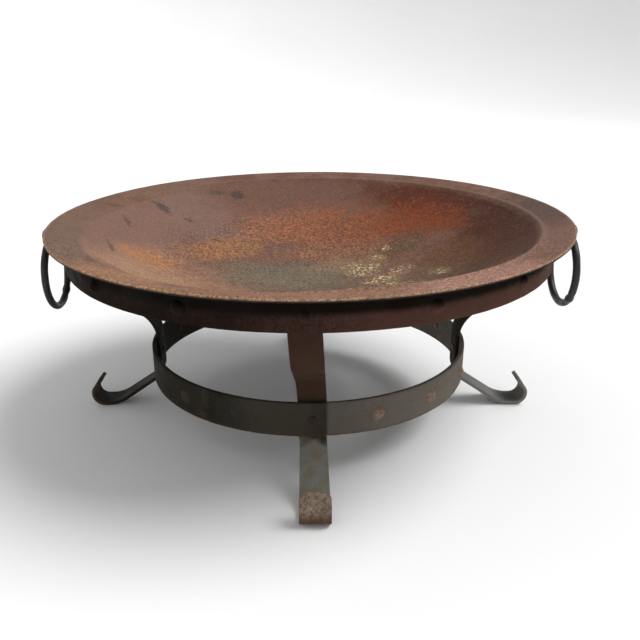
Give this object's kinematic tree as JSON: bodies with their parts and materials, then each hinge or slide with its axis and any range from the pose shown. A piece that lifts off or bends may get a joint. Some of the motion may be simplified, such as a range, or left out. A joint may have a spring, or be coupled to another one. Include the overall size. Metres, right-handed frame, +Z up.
{
  "type": "fire pit",
  "caption": "Shallow round iron fire bowl with a wide flange, resting in a riveted hoop-and-ring stand on scrolled legs, with a ring handle each side.",
  "frame": {"origin": "on the ground under the middle of the bowl, at the bottom of the feet", "axes": "+Z up along the bowl's axis; +X through the right handle; the front leg stands at -Y"},
  "size_m": [0.849, 0.8, 0.324],
  "materials": {
    "bowl_iron": "rusted all over, matte, with ash stains",
    "stand_iron": "dark forge scale with brown rust",
    "handle_iron": "black forged, slightly worn bright",
    "rivet_iron": "dark, hammered, rust at the edges"
  },
  "bodies": {
    "stand": {"upper_hoop": "stand_iron", "lower_ring": "stand_iron", "leg_front": "stand_iron", "leg_right": "stand_iron", "leg_rear": "stand_iron", "leg_left": "stand_iron", "handle_eye_left": "handle_iron", "handle_eye_right": "handle_iron", "hoop_leg_rivets": "rivet_iron", "ring_leg_rivets": "rivet_iron", "hoop_dome_rivets": "rivet_iron", "ring_dome_rivets": "rivet_iron"},
    "bowl": {"fire_bowl": "bowl_iron"},
    "handle_left": {"handle_ring_left": "handle_iron"},
    "handle_right": {"handle_ring_right": "handle_iron"}
  },
  "joints": [
    {"name": "bowl_lift", "type": "slide", "parent": "stand", "child": "bowl", "axis": [0, 0, 1], "range_m": [0, 0.15]},
    {"name": "handle_left_swing", "type": "hinge", "parent": "stand", "child": "handle_left", "pos_m": [-0.409, 0, 0.29105], "axis": [0, 1, 0], "range_deg": [-35, 188]},
    {"name": "handle_right_swing", "type": "hinge", "parent": "stand", "child": "handle_right", "pos_m": [0.409, 0, 0.29105], "axis": [0.0349, -0.9994, 0], "range_deg": [-35, 185]}
  ]
}
